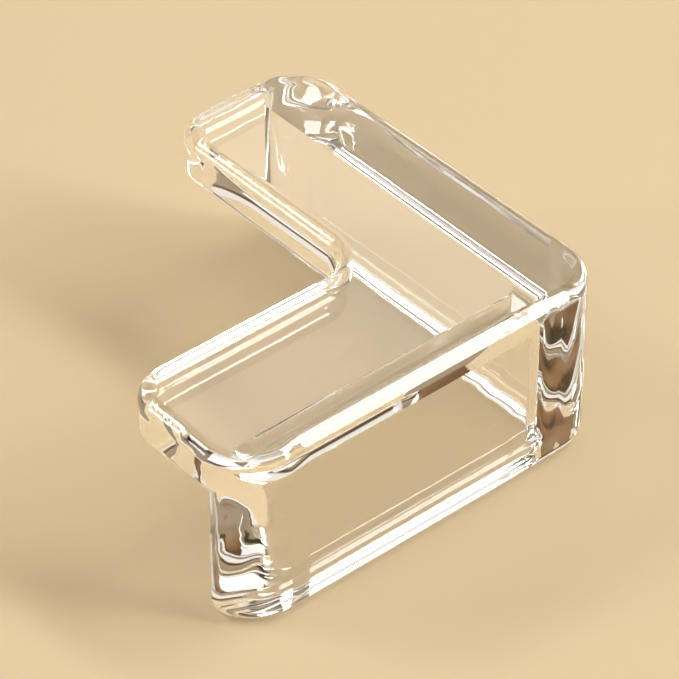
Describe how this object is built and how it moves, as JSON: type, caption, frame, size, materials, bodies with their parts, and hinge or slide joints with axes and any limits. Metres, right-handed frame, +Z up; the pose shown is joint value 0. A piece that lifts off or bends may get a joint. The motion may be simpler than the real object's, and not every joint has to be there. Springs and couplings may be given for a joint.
{
  "type": "furniture corner protector",
  "caption": "Clear soft-plastic corner guard: an L-shaped plate for a table's top corner, with a skirt along its outer edges and every free edge rounded.",
  "frame": {"origin": "centre of the square footprint, at the skirt's lower edge", "axes": "+Z up, out of the plate's top; the outer corner points to +X and -Y, one arm runs along -X and the other along +Y"},
  "size_m": [0.04, 0.04, 0.0176],
  "materials": {
    "clear_soft_plastic": "clear, glossy, moulded"
  },
  "bodies": {
    "root": {"corner_guard": "clear_soft_plastic"}
  },
  "joints": []
}
